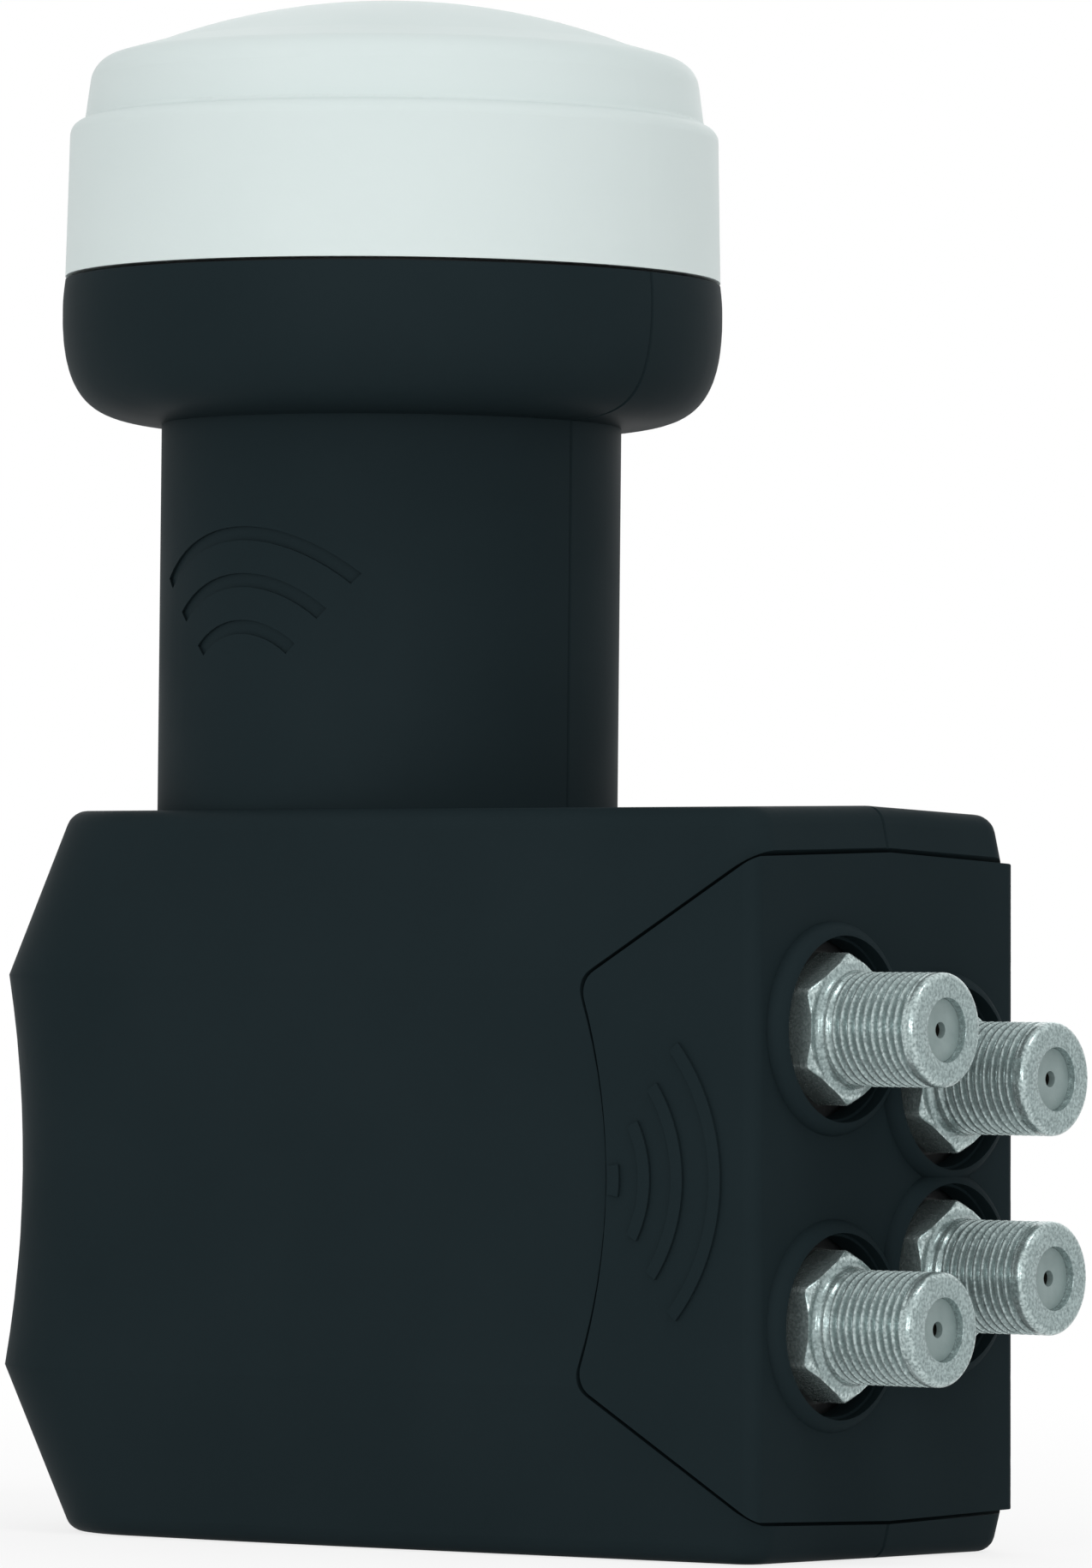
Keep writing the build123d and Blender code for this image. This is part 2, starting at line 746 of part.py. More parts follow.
# Feed cap: thin domed shell that snaps over the horn's rim
with BuildPart() as feed_cap:
    with BuildSketch(Plane.XZ):
        with BuildLine():
            FilletPolyline(
                (cap_skirt_radius, cap_bottom_z),
                (cap_skirt_radius - cap_skirt_draft, cap_step_z),
                (cap_step_radius, cap_step_z + cap_step_slope),
                (cap_step_radius - cap_shoulder_draft, cap_shoulder_z),
                (cap_dome_radius, cap_dome_z),
                radius=[1.3, 0.5, 2.6],
            )
            TangentArc((0, cap_top_z), (cap_dome_radius, cap_dome_z), tangent=(1, 0))
            Line((0, cap_top_z), (0, cap_top_z - cap_wall))
            TangentArc(
                (0, cap_top_z - cap_wall), (cap_dome_radius, cap_dome_z - cap_wall), tangent=(1, 0)
            )
            Polyline(
                (cap_dome_radius, cap_dome_z - cap_wall),
                (cap_step_radius - cap_shoulder_draft - cap_wall, cap_shoulder_z - cap_wall),
                (cap_step_radius - cap_wall, cap_step_z - cap_wall),
                (cap_bore_radius, cap_step_z - cap_wall - cap_step_slope),
                (cap_bore_radius, cap_bottom_z),
                (cap_skirt_radius, cap_bottom_z),
            )
        make_face()
        with Locations((cap_bore_radius, snap_z)):
            RegularPolygon(snap_bead, 4)
    revolve(axis=Axis.Z)
feed_cap.part.label = "feed_cap"
export_step(feed_cap.part, "parts/feed_cap.step")

# Rubber ring between the horn's rim and the cap
with BuildPart() as cap_seal_ring:
    with BuildSketch(Plane.XZ):
        with Locations((cap_bore_radius - fitting_gap, seal_z)):
            Rectangle(seal_thickness, seal_thickness, align=(Align.MAX, Align.CENTER))
    revolve(axis=Axis.Z)
cap_seal_ring.part.label = "cap_seal_ring"
export_step(cap_seal_ring.part, "parts/cap_seal_ring.step")

# Boards, gaskets, lids and screws, the same on both faces of the chassis
for face_name, side in (("front", 1), ("rear", -1)):
    with BuildPart() as board:
        board_left = chassis_closed_x + chassis_wall + board_gap
        board_right = chassis_inner_x - board_gap
        board_high = chassis_top_z - chassis_wall - board_gap
        board_low = chassis_bottom_z + chassis_wall + board_gap
        with BuildSketch(Plane.XZ.offset(side * board_seat)):
            with Locations(((board_left + board_right) / 2, (board_high + board_low) / 2)):
                Rectangle(board_right - board_left, board_high - board_low)
            with Locations(lid_screw_places()):
                Circle(boss_radius + board_gap, mode=Mode.SUBTRACT)
            with Locations(board_screw_places()):
                Circle(board_screw_radius + screw_clearance, mode=Mode.SUBTRACT)
            with Locations([(tail_x, z) for _, y, z in sockets if y * side < 0]):
                Circle(tail_radius + screw_clearance, mode=Mode.SUBTRACT)
            if side == 1:
                with Locations((0, upper_probe_z), (lower_probe_x, lower_probe_z)):
                    Circle(probe_radius + screw_clearance, mode=Mode.SUBTRACT)
        extrude(amount=side * board_thickness)
    board.part.label = face_name + "_circuit_board"
    export_step(board.part, f"parts/{face_name}_circuit_board.step")

    with BuildPart() as gasket:
        with BuildSketch(Plane.XZ.offset(side * chassis_half_depth)):
            add(chassis_outline())
            with Locations(((board_left + board_right) / 2, (board_high + board_low) / 2)):
                Rectangle(
                    board_right - board_left + 2 * board_gap,
                    board_high - board_low + 2 * board_gap,
                    mode=Mode.SUBTRACT,
                )
            with Locations(lid_screw_places()):
                Circle(boss_radius)
            with Locations(lid_screw_places()):
                Circle(lid_screw_radius + screw_clearance, mode=Mode.SUBTRACT)
        extrude(amount=side * gasket_thickness)
    gasket.part.label = face_name + "_lid_gasket"
    export_step(gasket.part, f"parts/{face_name}_lid_gasket.step")

    with BuildPart() as lid:
        with BuildSketch(Plane.XZ.offset(side * lid_inner)):
            add(chassis_outline())
            with Locations(lid_screw_places()):
                Circle(lid_screw_radius + screw_clearance, mode=Mode.SUBTRACT)
        extrude(amount=side * lid_thickness)
        # Countersinks for the flat screw heads
        with Locations(
            [Pos(x, -side * lid_outer, z) * Rot(90 * side, 0, 0) for x, z in lid_screw_places()]
        ):
            Cone(
                lid_screw_radius,
                lid_screw_head_radius + screw_clearance,
                lid_thickness,
                align=(Align.CENTER, Align.CENTER, Align.MAX),
                mode=Mode.SUBTRACT,
            )
        # Walls between the circuits, cast on the lid's inner face
        with BuildSketch(Plane.XZ.offset(side * lid_inner)):
            with Locations((tube_radius + lid_wall_offset, chassis_middle_z)):
                Rectangle(lid_thickness, chassis_height / 2)
                Rectangle(chassis_length / 4, lid_thickness, align=(Align.MIN, Align.CENTER))
        extrude(amount=-side * (lid_inner - board_seat - board_thickness - board_gap))
    lid.part.label = face_name + "_chassis_lid"
    export_step(lid.part, f"parts/{face_name}_chassis_lid.step")

    with BuildPart() as lid_screws:
        with BuildSketch(Plane.XZ.offset(side * lid_outer)):
            with Locations(lid_screw_places()):
                Circle(lid_screw_radius)
        extrude(amount=-side * (lid_screw_length + gasket_thickness))
        with Locations(
            [Pos(x, -side * lid_outer, z) * Rot(90 * side, 0, 0) for x, z in lid_screw_places()]
        ):
            Cone(
                lid_screw_radius,
                lid_screw_head_radius,
                lid_thickness - screw_clearance,
                align=(Align.CENTER, Align.CENTER, Align.MAX),
            )
    lid_screws.part.label = face_name + "_lid_screws"
    export_step(lid_screws.part, f"parts/{face_name}_lid_screws.step")

    with BuildPart() as board_screws:
        with BuildSketch(Plane.XZ.offset(side * (board_seat + board_thickness))):
            with Locations(board_screw_places()):
                Circle(board_screw_head_radius)
        extrude(amount=side * board_screw_head_height)
        with BuildSketch(Plane.XZ.offset(side * (board_seat + board_thickness))):
            with Locations(board_screw_places()):
                Circle(board_screw_radius)
        extrude(amount=-side * (board_screw_length - board_thickness))
    board_screws.part.label = face_name + "_board_screws"
    export_step(board_screws.part, f"parts/{face_name}_board_screws.step")

# Sockets: threaded body, washer, insulator and contact at four places
for place_name, y, z in sockets:
    side = 1 if y < 0 else -1
    axis_plane = Plane(origin=(0, y, z), x_dir=(1, 0, 0), z_dir=(0, -1, 0))
    turn_axis = Axis((0, y, z), (1, 0, 0))

    with BuildPart() as socket_body:
        with BuildSketch(Plane(origin=(hex_back_x, y, z), x_dir=(0, 1, 0), z_dir=(1, 0, 0))):
            RegularPolygon(socket_hex / 2, 6, major_radius=False, rotation=30)
        extrude(amount=socket_hex_height)
        # Cone that takes the hexagon's front corners off
        with BuildSketch(axis_plane):
            with BuildLine():
                cone_radius = socket_hex_face_radius + socket_hex_chamfer * math.sqrt(3)
                Polyline(
                    (hex_back_x, 0),
                    (hex_back_x, socket_hex),
                    (hex_front_x - socket_hex_chamfer, socket_hex),
                    (hex_front_x - socket_hex_chamfer, cone_radius),
                    (hex_front_x, socket_hex_face_radius),
                    (hex_front_x, 0),
                    close=True,
                )
            make_face()
        revolve(axis=turn_axis, mode=Mode.INTERSECT)
        with BuildSketch(axis_plane):
            with BuildLine():
                Polyline(
                    (chassis_inner_x, socket_bore_radius),
                    (chassis_inner_x, socket_spigot_radius),
                    (hex_back_x, socket_spigot_radius),
                    (hex_back_x, socket_thread_radius),
                    (socket_tip_x - tip_chamfer, socket_thread_radius),
                    (socket_tip_x, socket_thread_radius - tip_chamfer),
                    (socket_tip_x, socket_bore_radius),
                    close=True,
                )
            make_face()
        revolve(axis=turn_axis)
        with BuildSketch(Plane(origin=(chassis_inner_x, y, z), x_dir=(0, 1, 0), z_dir=(1, 0, 0))):
            Circle(socket_bore_radius)
        extrude(amount=socket_tip_x - chassis_inner_x, mode=Mode.SUBTRACT)
    socket_body.part.label = place_name + "_socket_body"
    export_step(socket_body.part, f"parts/{place_name}_socket_body.step")

    with BuildPart() as socket_washer:
        with BuildSketch(Plane(origin=(chassis_end_x, y, z), x_dir=(0, 1, 0), z_dir=(1, 0, 0))):
            Circle(socket_washer_radius)
            Circle(socket_spigot_radius + fitting_gap, mode=Mode.SUBTRACT)
        extrude(amount=socket_washer_thickness)
    socket_washer.part.label = place_name + "_socket_washer"
    export_step(socket_washer.part, f"parts/{place_name}_socket_washer.step")

    with BuildPart() as socket_insulator:
        with BuildSketch(axis_plane):
            with BuildLine():
                insulator_radius = socket_bore_radius - fitting_gap
                lip_back_x = insulator_front_x - insulator_lip
                Polyline(
                    (insulator_back_x, contact_radius + fitting_gap),
                    (insulator_back_x, insulator_radius),
                    (insulator_front_x, insulator_radius),
                    (insulator_front_x, pin_hole_radius),
                    (lip_back_x, pin_hole_radius),
                    (lip_back_x, contact_radius + fitting_gap),
                    close=True,
                )
            make_face()
        revolve(axis=turn_axis)
    socket_insulator.part.label = place_name + "_socket_insulator"
    export_step(socket_insulator.part, f"parts/{place_name}_socket_insulator.step")

    with BuildPart() as socket_contact:
        with BuildSketch(axis_plane):
            with BuildLine():
                contact_front_x = lip_back_x - contact_set_back
                Polyline(
                    (insulator_back_x, 0),
                    (insulator_back_x, contact_radius),
                    (contact_front_x, contact_radius),
                    (contact_front_x, contact_bore_radius),
                    (hex_front_x, contact_bore_radius),
                    (hex_front_x, 0),
                    close=True,
                )
            make_face()
        revolve(axis=turn_axis)
        # Tail that bends over to its board
        with BuildLine() as tail_path:
            FilletPolyline(
                (insulator_back_x + tail_bend, y, z),
                (tail_x, y, z),
                (tail_x, -side * pin_end, z),
                radius=tail_bend,
            )
        with BuildSketch(Plane(origin=(insulator_back_x + tail_bend, y, z), z_dir=(-1, 0, 0))):
            Circle(tail_radius)
        sweep(path=tail_path.wire())
    socket_contact.part.label = place_name + "_center_contact"
    export_step(socket_contact.part, f"parts/{place_name}_center_contact.step")

# Probes: a straight pin from the front board, and one bent round to enter at right angles
with BuildPart() as upper_probe:
    with BuildSketch(Plane.XZ.offset(probe_reach)):
        with Locations((0, upper_probe_z)):
            Circle(probe_radius)
    extrude(amount=pin_end - probe_reach)
upper_probe.part.label = "upper_probe"
export_step(upper_probe.part, "parts/upper_probe.step")

with BuildPart() as lower_probe:
    with BuildLine() as probe_path:
        FilletPolyline(
            (lower_probe_x, -pin_end, lower_probe_z),
            (lower_probe_x, 0, lower_probe_z),
            (probe_reach, 0, lower_probe_z),
            radius=tail_bend,
        )
    with BuildSketch(Plane(origin=(lower_probe_x, -pin_end, lower_probe_z), z_dir=(0, 1, 0))):
        Circle(probe_radius)
    sweep(path=probe_path.wire())
lower_probe.part.label = "lower_probe"
export_step(lower_probe.part, "parts/lower_probe.step")

sleeve_places = [
    ("upper", Plane(origin=(0, -tube_radius, upper_probe_z), z_dir=(0, 1, 0))),
    ("lower", Plane(origin=(tube_radius, 0, lower_probe_z), z_dir=(-1, 0, 0))),
]
for place_name, mouth in sleeve_places:
    with BuildPart() as sleeve:
        with BuildSketch(mouth):
            Circle(sleeve_radius)
            Circle(probe_radius + fitting_gap, mode=Mode.SUBTRACT)
        extrude(amount=waveguide_wall)
    sleeve.part.label = place_name + "_probe_sleeve"
    export_step(sleeve.part, f"parts/{place_name}_probe_sleeve.step")

# Chips soldered to each board
for face_name, side in (("front", 1), ("rear", -1)):
    with BuildPart() as chips:
        with BuildSketch(Plane.XZ.offset(side * (board_seat + board_thickness))):
            for chip_inset, chip_rise, chip_width, chip_height in chip_places:
                with Locations((chassis_inner_x - chip_inset, chassis_middle_z + side * chip_rise)):
                    Rectangle(chip_width, chip_height)
        extrude(amount=side * chip_thickness)
    chips.part.label = face_name + "_board_chips"
    export_step(chips.part, f"parts/{face_name}_board_chips.step")
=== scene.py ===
import json
import math

import bmesh
import bpy
from mathutils import Matrix, Vector


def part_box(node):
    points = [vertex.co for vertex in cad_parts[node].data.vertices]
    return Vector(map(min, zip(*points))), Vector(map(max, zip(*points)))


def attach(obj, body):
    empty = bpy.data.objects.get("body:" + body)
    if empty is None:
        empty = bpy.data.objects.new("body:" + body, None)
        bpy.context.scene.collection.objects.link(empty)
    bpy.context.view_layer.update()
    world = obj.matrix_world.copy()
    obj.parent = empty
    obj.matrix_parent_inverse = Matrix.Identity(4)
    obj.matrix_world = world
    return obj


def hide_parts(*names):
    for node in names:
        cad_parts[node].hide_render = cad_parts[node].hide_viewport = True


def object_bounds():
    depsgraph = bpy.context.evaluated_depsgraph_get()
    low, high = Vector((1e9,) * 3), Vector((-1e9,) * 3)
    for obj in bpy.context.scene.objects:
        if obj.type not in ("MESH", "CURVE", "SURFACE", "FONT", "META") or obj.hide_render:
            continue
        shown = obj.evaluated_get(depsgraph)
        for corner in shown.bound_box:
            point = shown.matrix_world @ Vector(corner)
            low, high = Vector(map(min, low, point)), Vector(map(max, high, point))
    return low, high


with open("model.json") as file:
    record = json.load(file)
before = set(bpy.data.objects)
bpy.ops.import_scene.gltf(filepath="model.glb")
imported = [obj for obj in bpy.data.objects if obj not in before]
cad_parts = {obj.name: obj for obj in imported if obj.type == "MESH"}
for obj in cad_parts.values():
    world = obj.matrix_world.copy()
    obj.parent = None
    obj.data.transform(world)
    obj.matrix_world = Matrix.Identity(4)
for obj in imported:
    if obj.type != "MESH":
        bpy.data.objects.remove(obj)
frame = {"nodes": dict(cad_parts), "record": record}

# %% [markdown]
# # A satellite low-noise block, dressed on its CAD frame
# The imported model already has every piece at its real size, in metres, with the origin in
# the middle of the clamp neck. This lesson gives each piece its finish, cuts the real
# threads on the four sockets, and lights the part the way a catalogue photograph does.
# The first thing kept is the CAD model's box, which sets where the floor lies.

cad_box = [list(corner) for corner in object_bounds()]
scene = bpy.context.scene
nodes = frame["nodes"]
mm = 0.001
print("CAD box", cad_box, "nodes", len(nodes))

# %% [markdown]
# ## Camera
# The photograph was taken with a long lens from a little below the middle of the part, so
# upright edges stay nearly parallel. The camera is set first, because every comparison
# with the photograph depends on it. Its place comes from fitting the 40 mm neck, the cap's
# circles and the box's corners; the small roll is the tilt of the part in the picture.

# %% Camera
camera_place = Vector((0.5500, -0.6669, -0.0347))
camera_aim = Vector((0.0136, 0.0050, -0.0144))
camera_roll = math.radians(0.57)

camera_data = bpy.data.cameras.new("catalogue_camera")
camera_data.lens = 228.4
camera_data.sensor_width = 36.0
camera_data.clip_start = 0.05
camera_data.clip_end = 20.0
camera = bpy.data.objects.new("catalogue_camera", camera_data)
scene.collection.objects.link(camera)
look = (camera_aim - camera_place).to_track_quat("-Z", "Y")
camera.rotation_mode = "QUATERNION"
camera.rotation_quaternion = look @ Matrix.Rotation(camera_roll, 3, "Z").to_quaternion()
camera.location = camera_place
bpy.context.scene.camera = camera
print("camera at", tuple(camera_place), "lens", camera_data.lens)

# %% [markdown]
# ## A white ground that doesn't wash the part out
# A catalogue picture has a white ground that runs out of sight. Making it by brightness
# alone would wash the dark plastic out. So the world is white only for rays that come from
# the camera, a reflection or a clear material, and gives a soft grey fill to the rest.
# The floor below does the same, so the test for such rays is a helper of its own.

# %% Helpers for the white ground


def link(tree, out, into):
    """Join two sockets."""
    tree.links.new(out, into)


def math_node(tree, operation, first, second):
    """A Math node whose inputs are sockets or plain numbers."""
    node = tree.nodes.new("ShaderNodeMath")
    node.operation = operation
    for socket, value in zip(node.inputs, (first, second)):
        if isinstance(value, float):
            socket.default_value = value
        else:
            link(tree, value, socket)
    return node.outputs[0]


def sees_white_ground(tree):
    """1 for rays from the camera, a reflection or a clear material, else 0."""
    rays = tree.nodes.new("ShaderNodeLightPath").outputs
    share = math_node(tree, "MAXIMUM", rays["Is Camera Ray"], rays["Is Glossy Ray"])
    return math_node(tree, "MAXIMUM", share, rays["Is Transmission Ray"])


# %% White world with a soft fill
fill_strength = 0.68

world = bpy.data.worlds.new("studio_world")
world.use_nodes = True
scene.world = world
background = world.node_tree.nodes["Background"]
background.inputs["Color"].default_value = (1.0, 1.0, 1.0, 1.0)
strength = world.node_tree.nodes.new("ShaderNodeMix")
strength.data_type = "FLOAT"
strength.inputs["A"].default_value = fill_strength
strength.inputs["B"].default_value = 1.0
link(world.node_tree, sees_white_ground(world.node_tree), strength.inputs["Factor"])
link(world.node_tree, strength.outputs["Result"], background.inputs["Strength"])
bpy.context.scene.view_settings.view_transform = "Standard"
print("world fill", fill_strength)

# %% [markdown]
# ## Floor card
# The part stands on a wide white card. Four corners and one face are enough for it. It lies
# a hair under the part's flat underside, because two faces in one plane flicker.

# %% Floor card
floor_reach = 3.0
floor_gap = 0.05 * mm

floor_z = cad_box[0][2] - floor_gap
floor_mesh = bpy.data.meshes.new("floor")
card_corners = ((-1, -1), (1, -1), (1, 1), (-1, 1))
card = [(x * floor_reach, y * floor_reach, floor_z) for x, y in card_corners]
floor_mesh.from_pydata(card, [], [(0, 1, 2, 3)])
floor = bpy.data.objects.new("floor", floor_mesh)
scene.collection.objects.link(floor)
print("floor at", floor_z)

# %% [markdown]
# ## Floor material
# The card's shader mixes a plain matt surface, which catches the part's shadow, with a
# white glow that only the camera and reflections see. The glow grows with the distance from
# the part, so the shadow stays near it and no horizon shows. From below the card is clear,
# so the underside can be looked at.

# %% Floor material
floor_shadow = 0.22
shadow_near, shadow_far = 0.06, 0.35


def new_material(name):
    """A material with its tree and its principled shader."""
    material = bpy.data.materials.new(name)
    material.use_nodes = True
    tree = material.node_tree
    return material, tree, tree.nodes["Principled BSDF"]


def stretch(tree, value, low, high, to_low, to_high, blend="LINEAR"):
    """Spread a range of a mask over another range."""
    node = tree.nodes.new("ShaderNodeMapRange")
    node.interpolation_type = blend
    for name, number in (
        ("From Min", low), ("From Max", high), ("To Min", to_low), ("To Max", to_high)
    ):
        node.inputs[name].default_value = number
    link(tree, value, node.inputs["Value"])
    return node.outputs["Result"]


floor_material, tree, shader = new_material("pale_floor")
shader.inputs["Base Color"].default_value = (0.95, 0.95, 0.95, 1.0)
shader.inputs["Roughness"].default_value = 0.9
glow = tree.nodes.new("ShaderNodeEmission")
glow.inputs["Color"].default_value = (1.0, 1.0, 1.0, 1.0)
distance = tree.nodes.new("ShaderNodeVectorMath")
distance.operation = "LENGTH"
link(tree, tree.nodes.new("ShaderNodeTexCoord").outputs["Object"], distance.inputs[0])
whitening = stretch(
    tree, distance.outputs["Value"], shadow_near, shadow_far, 1.0 - floor_shadow, 1.0, "SMOOTHSTEP"
)
above = tree.nodes.new("ShaderNodeMixShader")
link(tree, math_node(tree, "MULTIPLY", sees_white_ground(tree), whitening), above.inputs[0])
link(tree, shader.outputs[0], above.inputs[1])
link(tree, glow.outputs[0], above.inputs[2])
both_sides = tree.nodes.new("ShaderNodeMixShader")
link(tree, tree.nodes.new("ShaderNodeNewGeometry").outputs["Backfacing"], both_sides.inputs[0])
link(tree, above.outputs[0], both_sides.inputs[1])
link(tree, tree.nodes.new("ShaderNodeBsdfTransparent").outputs[0], both_sides.inputs[2])
link(tree, both_sides.outputs[0], tree.nodes["Material Output"].inputs["Surface"])
floor_mesh.materials.append(floor_material)
print("floor keeps", floor_shadow, "of its shadow")

# %% [markdown]
# ## Softboxes
# Four weak square lamps, so that a colour renders about as it is written. The key stands in
# front. A smaller one beside the camera reaches into the socket holes. The top one lifts
# the cap's dome and draws the small highlights on the socket tips, and the back one keeps
# the rear readable from other angles.

# %% Lamps
lamp_aim = Vector((0.01, 0.0, -0.01))


def softbox(name, place, size, power):
    """A square area lamp that faces the middle of the part."""
    data = bpy.data.lights.new(name, "AREA")
    data.shape = "SQUARE"
    data.size = size
    data.energy = power
    lamp = bpy.data.objects.new(name, data)
    lamp.location = place
    lamp.rotation_mode = "QUATERNION"
    lamp.rotation_quaternion = (lamp_aim - Vector(place)).to_track_quat("-Z", "Y")
    scene.collection.objects.link(lamp)
    print(name, "size", size, "power", power)


softbox("key_softbox", (0.10, -1.05, 0.16), 0.45, 1.8)
softbox("camera_side_softbox", (0.72, -0.80, 0.06), 0.24, 1.3)
softbox("top_softbox", (0.45, -0.12, 0.85), 0.3, 1.7)
softbox("back_softbox", (-0.5, 0.9, 0.5), 0.8, 1.2)

# %% [markdown]
# ## Effects shared by the finishes
# Moulded plastic, cast metal and plating all show a fine grain and soft clouds of slightly
# different colour and gloss. One node group makes both from Object coordinates, so they
# stay fixed to the part, and each material sets its own scales and depth.

# %% Grain group


def group_socket(group, name, kind, in_out, value=None):
    """Add a named socket to a node group."""
    socket = group.interface.new_socket(name=name, in_out=in_out, socket_type=kind)
    if value is not None:
        socket.default_value = value


grain_group = bpy.data.node_groups.new("surface_grain", "ShaderNodeTree")
grain_inside = grain_group.nodes.new("NodeGroupInput")
grain_outside = grain_group.nodes.new("NodeGroupOutput")
coordinates = grain_group.nodes.new("ShaderNodeTexCoord")
for effect, scale_name, scale, detail in (
    ("Clouds", "Cloud Scale", 40.0, 3.0), ("Grain", "Grain Scale", 1800.0, 2.0)
):
    group_socket(grain_group, scale_name, "NodeSocketFloat", "INPUT", scale)
    group_socket(grain_group, effect, "NodeSocketFloat", "OUTPUT")
    noise = grain_group.nodes.new("ShaderNodeTexNoise")
    noise.inputs["Detail"].default_value = detail
    link(grain_group, coordinates.outputs["Object"], noise.inputs["Vector"])
    link(grain_group, grain_inside.outputs[scale_name], noise.inputs["Scale"])
    link(grain_group, noise.outputs[0], grain_outside.inputs[effect])
print("group", grain_group.name, "nodes", len(grain_group.nodes))

# %% [markdown]
# ## One maker for all finishes
# Every finish here is the same recipe with other numbers: the clouds choose between two
# near colours and move the gloss a little, and the grain lifts the surface through a Bump
# node. A function that builds the recipe keeps each material down to a few lines.

# %% Finish maker
cloud_low, cloud_high = 0.3, 0.7


def mix_colors(tree, factor, first, second):
    """Mix two colours, each a plain colour or a socket, by a factor socket."""
    node = tree.nodes.new("ShaderNodeMix")
    node.data_type = "RGBA"
    link(tree, factor, node.inputs["Factor"])
    for name, color in (("A", first), ("B", second)):
        if isinstance(color, tuple):
            node.inputs[name].default_value = (*color, 1.0)
        else:
            link(tree, color, node.inputs[name])
    return node.outputs["Result"]


def grained(name, color, darker, roughness, spread, clouds, grain, depth, metal=0.0):
    """A finish with clouds of colour and gloss over a fine grain.

    clouds and grain are how many there are to a metre, depth is the grain's height.
    """
    material, tree, shader = new_material(name)
    effect = tree.nodes.new("ShaderNodeGroup")
    effect.name = "grain"
    effect.node_tree = grain_group
    effect.inputs["Cloud Scale"].default_value = clouds
    effect.inputs["Grain Scale"].default_value = grain
    mask = effect.outputs["Clouds"]
    share = stretch(tree, mask, cloud_low, cloud_high, 0.0, 1.0)
    gloss = stretch(tree, mask, cloud_low, cloud_high, roughness - spread, roughness + spread)
    link(tree, mix_colors(tree, share, color, darker), shader.inputs["Base Color"])
    link(tree, gloss, shader.inputs["Roughness"])
    bump = tree.nodes.new("ShaderNodeBump")
    bump.inputs["Strength"].default_value = 1.0
    bump.inputs["Distance"].default_value = depth
    link(tree, effect.outputs["Grain"], bump.inputs["Height"])
    link(tree, bump.outputs["Normal"], shader.inputs["Normal"])
    shader.inputs["Metallic"].default_value = metal
    return material, tree, shader


# %% [markdown]
# ## Plastics
# The housing and the cover are dark blue-grey plastic from moulds with a fine eroded
# texture, so they hardly shine. They are two mouldings, so the cover is a shade apart. The
# cap is a pale satin plastic that lets microwaves through to the horn.

# %% Plastics
dark_shine = 0.012
cap_shine = 0.06

housing_plastic, _, shader = grained(
    "housing_plastic", color=(0.0127, 0.0208, 0.0238), darker=(0.0115, 0.0192, 0.0220),
    roughness=0.52, spread=0.05, clouds=60.0, grain=5200.0, depth=0.008 * mm,
)
shader.inputs["Specular IOR Level"].default_value = dark_shine
cover_plastic, _, shader = grained(
    "cover_plastic", color=(0.0125, 0.0206, 0.0236), darker=(0.0113, 0.0190, 0.0218),
    roughness=0.55, spread=0.05, clouds=60.0, grain=5200.0, depth=0.008 * mm,
)
shader.inputs["Specular IOR Level"].default_value = dark_shine
cap_plastic, _, shader = grained(
    "cap_plastic", color=(0.65, 0.725, 0.716), darker=(0.63, 0.708, 0.70),
    roughness=0.45, spread=0.04, clouds=50.0, grain=3000.0, depth=0.006 * mm,
)
shader.inputs["Specular IOR Level"].default_value = cap_shine
print("plastics", housing_plastic.name, cover_plastic.name, cap_plastic.name)

# %% [markdown]
# ## Nickel on the sockets, with painted highlights and painted shade
# Barrel plating leaves a fine speckle. The thread's crests, the hexagon's edges and the tip's
# rim get a painted highlight, and the grooves get a painted shade. The lathe tree further
# down writes this on the mesh as a number, from -1 in a groove to 1 on an edge, and the
# finish follows it. The speckle also breaks the painted highlights up.

# %% Nickel plating with painted highlights and painted shade
# The painted shade for the grooves, the painted highlight for the edges, its strength, and how much
# of it the speckle leaves.
groove_shade_color = (0.11, 0.15, 0.15)
edge_highlight_color = (0.72, 0.84, 0.83)
edge_highlight_strength = 0.9
speckle_low, speckle_high = 0.35, 0.62
highlight_left_in_speckle = 0.15


def base_color(shader):
    """The socket that feeds a shader's colour now."""
    return shader.inputs["Base Color"].links[0].from_socket


nickel, tree, shader = grained(
    "nickel_plating", color=(0.40, 0.495, 0.49), darker=(0.17, 0.22, 0.22),
    roughness=0.27, spread=0.10, clouds=4000.0, grain=6500.0, depth=0.008 * mm, metal=0.65,
)
painted_light = tree.nodes.new("ShaderNodeAttribute")
painted_light.attribute_name = "painted_light"
groove_share = stretch(tree, painted_light.outputs["Fac"], -1.0, 0.0, 1.0, 0.0)
edge_share = stretch(tree, painted_light.outputs["Fac"], 0.0, 1.0, 0.0, edge_highlight_strength)
clouds = tree.nodes["grain"].outputs["Clouds"]
speckle = stretch(tree, clouds, speckle_low, speckle_high, 1.0, highlight_left_in_speckle)
# Paint the shade into the grooves and the highlights onto the crests and edges.
plated = mix_colors(tree, groove_share, base_color(shader), groove_shade_color)
plated = mix_colors(tree, math_node(tree, "MULTIPLY", edge_share, speckle), plated, edge_highlight_color)
link(tree, plated, shader.inputs["Base Color"])
print("nickel nodes", len(tree.nodes))

# %% [markdown]
# ## The die casting
# The chassis and its lids are raw light-metal castings, dull grey and a bit cloudy. The
# casting gets a near-black painted shade on its end wall, so the holes round the hexagons
# stay dark, and in a narrow band behind the seam under the cap. The painted shade is a mask
# on Object coordinates, and takes the metal away where it lies.

# %% Raw casting with painted shade
# Near-black painted shade on the end wall and in the band behind the cap's seam.
painted_shade_color = (0.008, 0.010, 0.011)
end_wall_x, wall_blur = 51.0 * mm, 0.2 * mm
seam_low_z, seam_high_z, seam_blur = 28.25 * mm, 30.15 * mm, 0.05 * mm

